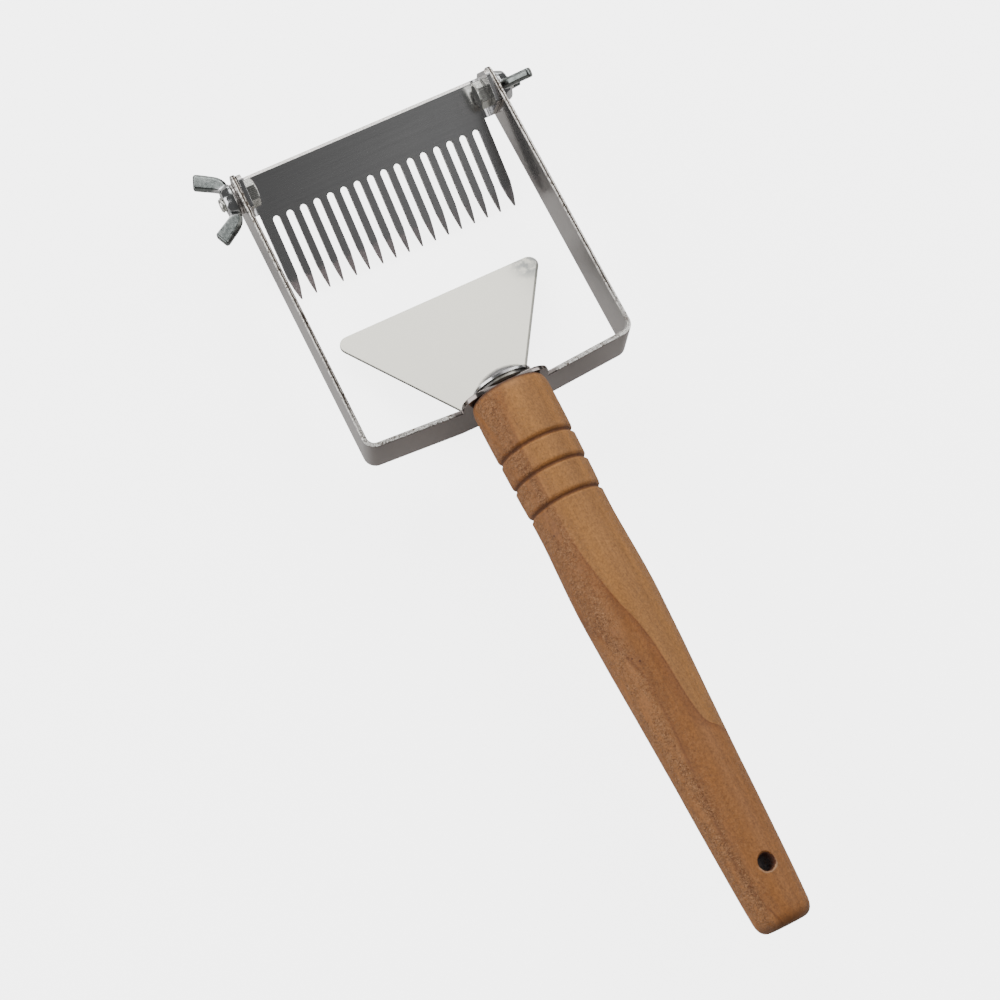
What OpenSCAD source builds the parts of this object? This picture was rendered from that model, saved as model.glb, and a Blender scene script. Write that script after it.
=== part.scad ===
// Adjustable honeycomb uncapping scraper: a bent steel yoke on a turned wooden
// handle, with a toothed comb blade that pivots between the yoke's two arms.
// Origin: centre of the hang hole, on the handle's axis.
// +Y runs along the handle towards the comb, +Z is the side the lug stands up on.

/* [Yoke] */
// Outer width across the two arms
yoke_width = 90; // [84:0.5:100]
// Width of the strap, along Z
strap_width = 18.6; // [17:0.1:20]
// Thickness of the strap
strap_thick = 1.5; // [1.2:0.1:1.6]
// Outer radius of the two bends
bend_radius = 4; // [3:0.5:6]
// How far the crossbar's ends lie ahead of its middle
bar_bow = 1.8; // [0:0.1:2.5]
// Reach of the arms from the crossbar's outer face to their ends
arm_reach = 102.6; // [101:0.1:108]
// Corner radius of the arm ends
arm_corner = 4; // [3:0.5:8]
// Half width of the lug on the crossbar
lug_half_width = 14.2; // [13:0.1:16]
// Height of the lug's top edge above the strap's mid-plane
lug_top = 19.3; // [18.5:0.1:21]
// Corner radius of the lug
lug_corner = 7; // [3:0.5:9]

/* [Comb blade] */
// Thickness of the blade
comb_thick = 1.5; // [1.2:0.1:1.6]
// Number of teeth, an odd number
tooth_count = 17; // [15:2:17]
// Distance from tooth to tooth
tooth_pitch = 4.72; // [4.5:0.01:4.72]
// Width of the slot between two teeth
slot_width = 2.3; // [2:0.05:2.5]
// Depth of the blade from its back edge to the slots
body_depth = 14.95; // [14:0.05:16]
// Length of the teeth from the slot ends to the tips
tooth_length = 27.5; // [24:0.1:28]
// Length of the tapered point of a tooth
point_length = 8; // [6:0.1:10]
// Angle of the blade to the yoke's plane in the rest position
comb_angle = 25.2; // [20:0.1:30]
// Length of the folded ears at their foot, along the blade
ear_length = 12.8; // [12.5:0.1:14]
// Height of the ears above the blade's top face
ear_height = 15.4; // [14:0.1:16.5]
// Corner radius of the ears
ear_corner = 2.5; // [1:0.5:3]
// How far the ears stand out behind the blade's back edge
ear_back = 1.2; // [0:0.1:2]
// How far the ears' front edge leans back
ear_lean = 2.8; // [0:0.1:4]
// Inner radius of the fold between blade and ear
fold_radius = 2; // [1.5:0.1:2.2]
// Width of the chamfer on the blade's back edge, seen from above
back_chamfer = 0.9; // [0.2:0.1:1.2]
// Depth of the chamfer on the blade's back edge
back_chamfer_depth = 0.65; // [0.2:0.05:0.9]

/* [Pivot] */
// Distance of the pivot axis from the crossbar's outer face
pivot_y = 97.45; // [96:0.05:98]
// Distance of the pivot axis from the blade's back edge, along the blade
pivot_back = 5.49; // [5:0.01:6.5]
// Height of the pivot axis over the blade's top face
pivot_height = 6.61; // [6.5:0.01:7.2]

/* [Screws and wing nuts] */
// Thread diameter of the two pivot screws
screw_d = 5; // [5:1:5]
// Width across flats of the hexagon heads
head_af = 8; // [7.8:0.1:8.2]
// Height of the hexagon heads
head_h = 3.5; // [3.2:0.1:3.7]
// Distance of the screw tips from the middle plane
tip_x = 50.9; // [50.5:0.1:54]
// Diameter of the plain washers
washer_d = 10; // [9.5:0.1:12]
// Thickness of the plain washers
washer_t = 0.8; // [0.5:0.1:1]
// Height of a wing nut's round body
nut_boss_h = 3.6; // [3.4:0.1:5]
// Diameter of a wing nut's round body at its foot
nut_boss_d = 11; // [10.5:0.1:12]
// Thickness of the wings
wing_thick = 3; // [2:0.1:3.4]
// Turn of the left wing nut
left_nut_angle = 0; // [0:1:180]
// Turn of the right wing nut
right_nut_angle = 112; // [0:1:180]

/* [Guide plate] */
// Thickness of the guide plate
plate_thick = 1; // [0.8:0.1:1]
// Slope of the plate below the yoke's plane
plate_slope = 11.6; // [8:0.1:12]
// Height of the plate's top face at the crossbar
plate_root_z = -8.92; // [-9:0.01:-8]
// Half width of the plate at the crossbar
plate_root_half = 8.65; // [8:0.05:9]
// Half width of the plate's front edge
plate_tip_half = 37.6; // [30:0.1:38]
// Length of the plate, along its slope
plate_length = 47.4; // [40:0.1:48]
// Radius of the front corners
plate_corner = 3.2; // [2:0.1:4]

/* [Handle] */
// Distance of the hang hole from the crossbar
hole_to_bar = 156.3; // [154:0.1:158]
// Length of the wooden handle
handle_length = 174; // [172:0.5:178]
// Height of the handle's axis over the strap's mid-plane
handle_rise = 12.6; // [12:0.1:13]
// Diameter of the hang hole
hang_d = 5; // [4:0.1:6]
// Turn of the hang hole about the handle's axis, away from square to the yoke
hang_turn = 8.5; // [0:0.5:15]
// Depth of the three turned grooves
groove_depth = 0.95; // [0.5:0.05:1.2]
// Half width of the three turned grooves
groove_half = 1.15; // [0.8:0.05:1.4]

/* [Handle bolt] */
// Shank diameter of the handle bolt
bolt_d = 8; // [6:1:8]
// Diameter of the domed head
dome_d = 19; // [18:0.1:20]
// Height of the domed head
dome_h = 4.6; // [4:0.1:5.5]
// Depth of the shank in the wood
bolt_depth = 42; // [30:1:60]

/* [Hidden] */

$fn = 72;
hw = yoke_width / 2;
st = strap_thick;
hs = strap_width / 2;
play = 0.05;                       // running play between blade and arms
ear_out = hw - st - play;          // outer face of an ear
ear_in = ear_out - comb_thick;     // inner face of an ear
flat_half = ear_in - fold_radius;  // half width of the blade's flat part
screw_r = screw_d / 2;
hole_r = screw_r + 0.05;
blade_y = pivot_y + pivot_back * cos(comb_angle) + pivot_height * sin(comb_angle);
blade_z = pivot_back * sin(comb_angle) - pivot_height * cos(comb_angle);
washer_x = hw + play;
nut_x = washer_x + washer_t + play;

// points of an arc, from angle a0 to a1
function arc(cx, cy, r, a0, a1, n = 8) =
    [for (i = [0:n]) [cx + r * cos(a0 + (a1 - a0) * i / n), cy + r * sin(a0 + (a1 - a0) * i / n)]];

// from the yoke's own frame to the frame of the whole tool
module at_yoke() translate([0, hole_to_bar, -handle_rise]) children();

// along +X from the origin
module along_x(x) translate([x, 0, 0]) rotate([0, 90, 0]) children();

// blade frame: X across, -Y towards the tips, Z up from the blade's top face
module at_blade() at_yoke() translate([0, blade_y, blade_z]) rotate([comb_angle, 0, 0]) children();

// pivot frame: origin on the pivot axis, in the middle plane
module at_pivot() at_yoke() translate([0, pivot_y, 0]) children();

// ---- yoke -------------------------------------------------------------

function strap_outline(w, r, b) =
    concat([[-w, 200]], arc(-w + r, bar_bow + b + r, r, 180, 270),
           [[-lug_half_width, b], [lug_half_width, b]],
           arc(w - r, bar_bow + b + r, r, 270, 360), [[w, 200]]);

module strap() {
    linear_extrude(height = strap_width, center = true)
        difference() {
            polygon(strap_outline(hw, bend_radius, 0));
            polygon(strap_outline(hw - st, bend_radius - st, st));
        }
}

// side view of the arms, with their rounded ends
module arm_side() {
    rotate([90, 0, 90])
        linear_extrude(height = 2 * yoke_width, center = true)
            polygon(concat([[-10, -hs]], arc(arm_reach - arm_corner, -hs + arm_corner, arm_corner, -90, 0),
                           arc(arm_reach - arm_corner, hs - arm_corner, arm_corner, 0, 90), [[-10, hs]]));
}

// lug that lifts the handle over the strap's edge, in the crossbar's plane
module lug() {
    f = 1.6;
    w = lug_half_width;
    translate([0, st, 0]) rotate([90, 0, 0])
        linear_extrude(height = st)
            polygon(concat([[-w, 0]], [[-w, hs + f]],
                           arc(-w + lug_corner, lug_top - lug_corner, lug_corner, 180, 90),
                           arc(w - lug_corner, lug_top - lug_corner, lug_corner, 90, 0),
                           [[w, hs + f]], [[w, 0]]));
}

module yoke() color("silver") at_yoke()
    difference() {
        union() {
            intersection() { strap(); arm_side(); }
            lug();
        }
        translate([0, pivot_y, 0]) along_x(-hw - 1) cylinder(r = hole_r, h = 3 * st);
        translate([0, pivot_y, 0]) along_x(hw + 1 - 3 * st) cylinder(r = hole_r, h = 3 * st);
        translate([0, st + 1, handle_rise]) rotate([90, 0, 0]) cylinder(r = bolt_d / 2 + 0.05, h = st + 2);
    }

// ---- guide plate ------------------------------------------------------

plate_fold = 0.8;                                   // inner radius of the fold
fold_y = st + plate_thick + plate_fold;             // centre line of the fold
fold_z = plate_root_z - (fold_y - st) * tan(plate_slope) + plate_fold / cos(plate_slope);
plan_length = plate_length * cos(plate_slope);      // length of the plate seen from above
side_a = atan((plate_tip_half - plate_root_half) / (st + plan_length - fold_y));
tab_top = handle_rise + plate_root_half;

// the folded sheet, seen from the side
module sheet_side() {
    u = [cos(plate_slope), -sin(plate_slope)];
    n = [sin(plate_slope), cos(plate_slope)];
    tip = [st, plate_root_z] + plate_length * u;
    rotate([90, 0, 90])
        linear_extrude(height = 3 * plate_tip_half, center = true)
            polygon(concat([[st, tab_top + 1]],
                           arc(fold_y, fold_z, plate_fold + plate_thick, 180, 270 - plate_slope, 8),
                           [tip - plate_thick * n, tip],
                           arc(fold_y, fold_z, plate_fold, 270 - plate_slope, 180, 8),
                           [[st + plate_thick, tab_top + 1]]));
}

// outline of the plate seen from above
module plate_plan() {
    c = plate_corner;
    end_y = st + plan_length;
    cx = plate_tip_half - tan(side_a) * c - c / cos(side_a);
    polygon(concat([[-plate_root_half, 0], [plate_root_half, 0], [plate_root_half, fold_y]],
                   arc(cx, end_y - c, c, -side_a, 90, 10), arc(-cx, end_y - c, c, 90, 180 + side_a, 10),
                   [[-plate_root_half, fold_y]]));
}

// outline of the tab seen from the front
module tab_plan() {
    polygon(concat([[plate_root_half, fold_z]], arc(0, handle_rise, plate_root_half, 0, 180, 32),
                   [[-plate_root_half, fold_z]]));
}

module guide_plate() color("gainsboro") at_yoke()
    difference() {
        intersection() {
            sheet_side();
            union() {
                translate([0, 0, fold_z - 40]) linear_extrude(height = 40) plate_plan();
                translate([0, 10, 0]) rotate([90, 0, 0]) linear_extrude(height = 10) tab_plan();
            }
        }
        translate([0, st + plate_thick + 1, handle_rise]) rotate([90, 0, 0])
            cylinder(r = bolt_d / 2 + 0.05, h = plate_thick + 2);
    }

// ---- handle -----------------------------------------------------------

// radius of the turned body at a distance from the crossbar
body_curve = [[4, 12.3], [7, 12.35], [12, 12.35], [16, 12.3], [20, 12.2], [24, 12.12], [29, 12.0],
              [34, 11.88], [38, 11.7], [42, 11.6], [47, 11.55], [51, 11.65], [56, 11.85], [61, 12.05],
              [66, 12.2], [71, 12.25], [76, 12.15], [82, 11.95], [90, 11.7], [98, 11.35], [106, 11.0],
              [116, 10.62], [126, 10.25], [136, 9.98], [146, 9.65], [156, 9.32], [164, 8.98], [169, 8.7]];
grooves = [20, 29, 39];
function body_r(s) = lookup(s, body_curve);

handle_profile = concat(
    [[0, 0], [10.4, 0], [11.1, 0.35], [11.6, 0.9], [12, 1.8], [12.2, 2.8]],
    [for (p = body_curve) if (min([for (g = grooves) abs(p[0] - g)]) > groove_half && p[0] < grooves[0]) [p[1], p[0]]],
    [for (g = grooves) each concat(
        [[body_r(g - groove_half), g - groove_half], [body_r(g) - groove_depth, g - 0.15],
         [body_r(g) - groove_depth, g + 0.15], [body_r(g + groove_half), g + groove_half]],
        [for (p = body_curve) if (p[0] > g + groove_half + 0.5 && p[0] < g + 9 - groove_half) [p[1], p[0]]])],
    [for (p = body_curve) if (p[0] > 48.5) [p[1], p[0]]],
    [[8.45, handle_length - 3], [7.9, handle_length - 1.6], [6.9, handle_length - 0.6], [5.6, handle_length - 0.1], [4.6, handle_length], [0, handle_length]]);

module handle() color("peru") translate([0, hole_to_bar, 0])
    difference() {
        rotate([90, 0, 0]) rotate_extrude($fn = 96) polygon(handle_profile);
        rotate([90, 0, 0]) translate([0, 0, -1]) cylinder(r = bolt_d / 2 + 0.05, h = bolt_depth + 2);
        translate([0, -hole_to_bar, 0]) rotate([0, hang_turn, 0]) cylinder(d = hang_d, h = 40, center = true);
    }

// ---- handle bolt ------------------------------------------------------

module handle_bolt() color("whitesmoke") translate([0, hole_to_bar + st + plate_thick, 0]) {
    rim = 0.7;
    cap = dome_h - rim;
    big_r = (pow(dome_d / 2, 2) + cap * cap) / (2 * cap);
    half = asin(dome_d / 2 / big_r);
    rotate([-90, 0, 0]) rotate_extrude()
        polygon(concat([[0, 0], [dome_d / 2, 0]],
                       [for (i = [0:12]) let (a = half * (1 - i / 12)) [big_r * sin(a), rim + cap - big_r + big_r * cos(a)]]));
    rotate([90, 0, 0]) rotate_extrude()
        polygon([[0, -0.5], [bolt_d / 2, -0.5], [bolt_d / 2, st + plate_thick + bolt_depth - 3], [bolt_d / 2 - 2.6, st + plate_thick + bolt_depth], [0, st + plate_thick + bolt_depth]]);
}

// ---- comb blade -------------------------------------------------------

half_teeth = (tooth_count - 1) / 2;
tooth_half = (tooth_pitch - slot_width) / 2;
slot_r = slot_width / 2;
total_depth = body_depth + tooth_length;
last_out = flat_half;

// outline of one tooth between x0 and x1, from the blade's body to its point
function tooth_points(x0, x1, xt) =
    let (s = total_depth - point_length, m = total_depth - point_length * 0.45)
    [[x0, -body_depth - slot_r + 0.2], [x1, -body_depth - slot_r + 0.2], [x1, -s],
     [xt + (x1 - xt) * 0.62, -m], [xt + 0.15, -total_depth], [xt - 0.15, -total_depth],
     [xt + (x0 - xt) * 0.62, -m], [x0, -s]];

module comb_flat() {
    difference() {
        translate([-flat_half, -body_depth - slot_r]) square([2 * flat_half, body_depth + slot_r]);
        for (i = [-half_teeth : half_teeth - 1])
            translate([(i + 0.5) * tooth_pitch, -body_depth - slot_r]) circle(r = slot_r, $fn = 24);
    }
    for (i = [-half_teeth + 1 : half_teeth - 1])
        polygon(tooth_points(i * tooth_pitch - tooth_half, i * tooth_pitch + tooth_half, i * tooth_pitch));
    for (s = [-1, 1]) {
        x_in = half_teeth * tooth_pitch - tooth_half;
        scale([s, 1]) polygon(tooth_points(x_in, last_out, (x_in + last_out) / 2));
    }
}

// quarter round between the flat blade and an ear, then the ear itself, on the +X side
module ear() {
    translate([flat_half, 0, fold_radius]) rotate([90, 0, 0])
        linear_extrude(height = ear_length)
            polygon(concat(arc(0, 0, fold_radius + comb_thick, -90, 0, 12), arc(0, 0, fold_radius, 0, -90, 12)));
    translate([ear_in, 0, 0]) rotate([90, 0, 90])
        linear_extrude(height = comb_thick)
            polygon(concat([[0, fold_radius], [ear_back, fold_radius + 2.5]],
                           arc(ear_back - ear_corner, ear_height - ear_corner, ear_corner, 0, 90),
                           arc(-ear_length + ear_lean + 1.2, ear_height - 1.2, 1.2, 90, 170, 5),
                           [[-ear_length, fold_radius]]));
}

module comb_blade() color("darkgray") at_blade()
    difference() {
        union() {
            translate([0, 0, -comb_thick]) linear_extrude(height = comb_thick) comb_flat();
            ear();
            mirror([1, 0, 0]) ear();
        }
        rotate([90, 0, 90]) linear_extrude(height = 2 * flat_half, center = true)
            polygon([[-back_chamfer, 0], [0, -back_chamfer_depth], [1, -back_chamfer_depth * (1 + 1 / back_chamfer)],
                     [1, 1], [-back_chamfer, 1]]);
        translate([0, -pivot_back, pivot_height]) along_x(-ear_out - 1) cylinder(r = hole_r, h = 3 * comb_thick);
        translate([0, -pivot_back, pivot_height]) along_x(ear_out + 1 - 3 * comb_thick) cylinder(r = hole_r, h = 3 * comb_thick);
    }

// ---- pivot screws -----------------------------------------------------

// hexagon-head screw along +X, its head bearing on the inside of the right ear
module pivot_screw() {
    hr = head_af / 2 / cos(30);
    intersection() {
        along_x(ear_in - head_h) rotate([0, 0, 30]) cylinder(r = hr, h = head_h, $fn = 6);
        along_x(ear_in - head_h) rotate_extrude()
            polygon([[0, 0], [head_af / 2 - 0.25, 0], [hr + 0.05, 0.55], [hr + 0.05, head_h], [0, head_h]]);
    }
    along_x(ear_in - 0.5) rotate_extrude()
        polygon([[0, 0], [screw_r, 0], [screw_r, tip_x - ear_in + 0.5 - 0.7], [screw_r - 0.7, tip_x - ear_in + 0.5], [0, tip_x - ear_in + 0.5]]);
}

module right_screw() color("lightgray") at_pivot() rotate([comb_angle, 0, 0]) pivot_screw();
module left_screw() color("lightgray") at_pivot() rotate([comb_angle, 0, 0]) mirror([1, 0, 0]) pivot_screw();

// ---- washers ----------------------------------------------------------

module plain_washer() {
    along_x(washer_x) rotate_extrude()
        polygon([[screw_r + 0.1, 0], [washer_d / 2, 0], [washer_d / 2, washer_t - 0.15], [washer_d / 2 - 0.15, washer_t], [screw_r + 0.1, washer_t]]);
}

module right_washer() color("gainsboro") at_pivot() plain_washer();
module left_washer() color("gainsboro") at_pivot() mirror([1, 0, 0]) plain_washer();

// ---- wing nuts --------------------------------------------------------

// one wing, seen along its thickness: X is the height over the nut's foot, Y the radius
module wing_flat() {
    polygon(concat([[0.1, 0], [0.1, 5.2], [0.25, 6.6], [0.9, 8.0], [2.0, 9.2], [3.5, 10.35], [5.3, 11.5]],
                   arc(7.9, 12.0, 1.0, 122, 23, 6), arc(9.35, 8.95, 0.8, 23, -61, 6),
                   [[7.0, 6.7], [4.6, 5.3], [3.6, 4.6], [3.2, 3.8], [3.2, 0]]));
}

// wing nut standing on the washer, its wings in the X-Y plane
module wing_nut() {
    difference() {
        union() {
            along_x(nut_x) rotate_extrude()
                polygon([[0, 0], [nut_boss_d / 2 - 0.3, 0], [nut_boss_d / 2, 0.3], [nut_boss_d / 2 - 0.1, 1.0],
                         [nut_boss_d / 2 - 0.8, nut_boss_h - 0.5], [nut_boss_d / 2 - 1.3, nut_boss_h], [0, nut_boss_h]]);
            for (m = [0, 1]) mirror([0, m, 0])
                translate([nut_x, 0, 0]) linear_extrude(height = wing_thick, center = true) wing_flat();
        }
        along_x(nut_x - 1) cylinder(r = hole_r, h = nut_boss_h + 2);
    }
}

module right_wing_nut() color("lightgray") at_pivot() rotate([right_nut_angle, 0, 0]) wing_nut();
module left_wing_nut() color("lightgray") at_pivot() rotate([left_nut_angle, 0, 0]) mirror([1, 0, 0]) wing_nut();

yoke();
guide_plate();
handle();
handle_bolt();
comb_blade();
left_screw();
right_screw();
left_washer();
right_washer();
left_wing_nut();
right_wing_nut();
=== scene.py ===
import bpy, bmesh, math
import numpy as np
from mathutils import Matrix, Vector, noise


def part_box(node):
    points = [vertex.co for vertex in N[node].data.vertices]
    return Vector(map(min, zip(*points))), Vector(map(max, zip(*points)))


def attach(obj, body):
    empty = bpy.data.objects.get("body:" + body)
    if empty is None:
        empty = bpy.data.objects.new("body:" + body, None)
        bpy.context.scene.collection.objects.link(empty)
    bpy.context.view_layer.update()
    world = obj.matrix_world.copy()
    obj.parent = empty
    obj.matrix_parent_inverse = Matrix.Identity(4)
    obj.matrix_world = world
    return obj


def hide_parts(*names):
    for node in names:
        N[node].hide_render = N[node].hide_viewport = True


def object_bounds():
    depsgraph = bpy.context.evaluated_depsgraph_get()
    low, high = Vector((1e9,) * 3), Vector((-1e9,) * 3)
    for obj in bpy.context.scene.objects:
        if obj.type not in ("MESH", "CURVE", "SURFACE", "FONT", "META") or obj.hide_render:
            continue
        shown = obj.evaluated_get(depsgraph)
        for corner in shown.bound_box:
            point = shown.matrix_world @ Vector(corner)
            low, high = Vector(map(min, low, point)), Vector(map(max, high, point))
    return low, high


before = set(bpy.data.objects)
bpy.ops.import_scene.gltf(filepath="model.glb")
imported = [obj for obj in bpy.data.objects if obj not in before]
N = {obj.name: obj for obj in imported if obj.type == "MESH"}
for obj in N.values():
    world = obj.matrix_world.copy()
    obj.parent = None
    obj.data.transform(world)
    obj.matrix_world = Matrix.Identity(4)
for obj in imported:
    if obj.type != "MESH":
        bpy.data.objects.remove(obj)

CAD_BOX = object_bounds()
MM = 0.001

# the yoke's own frame: origin on the crossbar's outer face, in the strap's mid-plane
O = Vector((0.0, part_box("yoke")[0].y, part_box("handle_bolt")[0].z + 0.0095 - 0.0126))
COMB_ANGLE = math.radians(25.2)
PIVOT = O + Vector((0.0, 0.09745, 0.0))
BACK_EDGE = O + Vector((0.0, 0.09745 + (5.49 * math.cos(COMB_ANGLE) + 6.61 * math.sin(COMB_ANGLE)) * MM,
                        (5.49 * math.sin(COMB_ANGLE) - 6.61 * math.cos(COMB_ANGLE)) * MM))

_lo, _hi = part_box("guide_plate")
PLATE_CORNER = Vector((_hi.x - 0.0025, _hi.y - 0.0025, _lo.z + 0.0008))

# ---------------------------------------------------------------- camera
AZ, EL, ROLL, DIST, TX, TY, F = -2.167, 0.292, -0.477, 572.163, -14.807, -26.362, 1905.87
d = Vector((math.sin(EL) * math.cos(AZ), math.sin(EL) * math.sin(AZ), math.cos(EL)))
eye = Vector((TX, TY, 0.0)) + d * DIST
fw = -d
r = fw.cross(Vector((0, 1, 0))).normalized()
u = r.cross(fw)
c, s = math.cos(ROLL), math.sin(ROLL)
r, u = c * r + s * u, -s * r + c * u
cam_data = bpy.data.cameras.new("camera")
cam = bpy.data.objects.new("camera", cam_data)
bpy.context.scene.collection.objects.link(cam)
cam_data.sensor_width = 36.0
cam_data.lens = F * 36.0 / 1000.0
cam_data.clip_start, cam_data.clip_end = 0.01, 20.0
m = Matrix((r, u, d)).transposed().to_4x4()
m.translation = O + eye * MM
cam.matrix_world = m
bpy.context.scene.camera = cam


# ---------------------------------------------------------------- node helpers
class Mat:
    """A material built from nodes, on the object's own coordinates."""

    def __init__(self, name):
        self.m = bpy.data.materials.new(name)
        self.m.use_nodes = True
        self.t = self.m.node_tree
        self.b = self.t.nodes["Principled BSDF"]
        tc = self.t.nodes.new("ShaderNodeTexCoord")
        self.obj, self.nor = tc.outputs["Object"], tc.outputs["Normal"]

    def put(self, sock, v):
        if isinstance(v, bpy.types.NodeSocket):
            self.t.links.new(v, sock)
        else:
            sock.default_value = v

    def node(self, kind, ins=None, out=0, **props):
        n = self.t.nodes.new("ShaderNode" + kind)
        for k, v in props.items():
            setattr(n, k, v)
        for k, v in (ins or {}).items():
            self.put(n.inputs[k], v)
        return n.outputs[out]

    def scaled(self, scale, rot=(0, 0, 0), v=None):
        return self.node("Mapping", {"Vector": v or self.obj, "Scale": scale, "Rotation": rot}, vector_type="POINT")

    def noise(self, scale, detail=2.0, rough=0.5, dist=0.0, v=None):
        return self.node("TexNoise", {"Vector": v or self.obj, "Scale": scale, "Detail": detail, "Roughness": rough,
                                      "Distortion": dist}, out="Fac")

    def voronoi(self, scale, v=None, feature="F1", out="Distance", rand=1.0):
        return self.node("TexVoronoi", {"Vector": v or self.obj, "Scale": scale, "Randomness": rand}, out=out,
                         feature=feature)

    def math(self, op, a, b=0.0, c=None, clamp=False):
        n = self.t.nodes.new("ShaderNodeMath")
        n.operation, n.use_clamp = op, clamp
        self.put(n.inputs[0], a)
        self.put(n.inputs[1], b)
        if c is not None:
            self.put(n.inputs[2], c)
        return n.outputs[0]

    def vmath(self, op, a, b=None, out=0):
        n = self.t.nodes.new("ShaderNodeVectorMath")
        n.operation = op
        self.put(n.inputs[0], a)
        if b is not None:
            self.put(n.inputs[1], b)
        return n.outputs[out]

    def span(self, v, a, b, lo=0.0, hi=1.0, kind="SMOOTHSTEP"):
        return self.node("MapRange", {"Value": v, "From Min": a, "From Max": b, "To Min": lo, "To Max": hi},
                         interpolation_type=kind, clamp=True)

    def mix(self, f, a, b, mode="MIX"):
        n = self.t.nodes.new("ShaderNodeMix")
        n.data_type, n.blend_type, n.clamp_factor = "RGBA", mode, True
        self.put(n.inputs[0], f)
        for k, v in ((6, a), (7, b)):
            self.put(n.inputs[k], (*v, 1.0) if isinstance(v, tuple) and len(v) == 3 else v)
        return n.outputs[2]

    def scale_colour(self, col, f):
        """col times the number f"""
        return self.vmath_scale(col, f)

    def vmath_scale(self, a, f):
        n = self.t.nodes.new("ShaderNodeVectorMath")
        n.operation = "SCALE"
        self.put(n.inputs[0], a)
        self.put(n.inputs["Scale"], f)
        return n.outputs[0]

    def xyz(self, v=None):
        n = self.t.nodes.new("ShaderNodeSeparateXYZ")
        self.put(n.inputs[0], v or self.obj)
        return n.outputs[0], n.outputs[1], n.outputs[2]

    def curve(self, v, pts):
        """piecewise curve through pts = [(x, y)] with x in metres, y in metres"""
        x0, x1 = pts[0][0], pts[-1][0]
        y0, y1 = min(p[1] for p in pts), max(p[1] for p in pts)
        t = self.span(v, x0, x1, kind="LINEAR")
        n = self.t.nodes.new("ShaderNodeFloatCurve")
        cm = n.mapping.curves[0]
        q = [((x - x0) / (x1 - x0), (y - y0) / (y1 - y0)) for x, y in pts]
        while len(cm.points) < len(q):
            cm.points.new(0.5, 0.5)
        for p, (x, y) in zip(cm.points, q):
            p.location = (x, y)
            p.handle_type = "AUTO"
        n.mapping.update()
        self.put(n.inputs["Value"], t)
        return self.math("MULTIPLY_ADD", n.outputs[0], y1 - y0, y0)

    def bump(self, h, dist, strength=1.0, prev=None):
        ins = {"Height": h, "Distance": dist, "Strength": strength}
        if prev is not None:
            ins["Normal"] = prev
        return self.node("Bump", ins)

    def round_normal(self, radius, samples=6):
        return self.node("Bevel", {"Radius": radius}, samples=samples)

    def edges(self, radius, samples=4, lo=0.02, hi=0.16):
        """1 on the mesh's edges, 0 on its flats"""
        bev = self.node("Bevel", {"Radius": radius}, samples=samples)
        geo = self.t.nodes.new("ShaderNodeNewGeometry").outputs["Normal"]
        dot = self.vmath("DOT_PRODUCT", bev, geo, out="Value")
        return self.span(self.math("SUBTRACT", 1.0, dot), lo, hi)

    def done(self, colour=None, rough=None, normal=None, metallic=None, **consts):
        if colour is not None:
            self.put(self.b.inputs["Base Color"], (*colour, 1.0) if isinstance(colour, tuple) else colour)
        if rough is not None:
            self.put(self.b.inputs["Roughness"], rough)
        if normal is not None:
            self.put(self.b.inputs["Normal"], normal)
        if metallic is not None:
            self.b.inputs["Metallic"].default_value = metallic
        for k, v in consts.items():
            self.b.inputs[k].default_value = v
        return self.m


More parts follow.
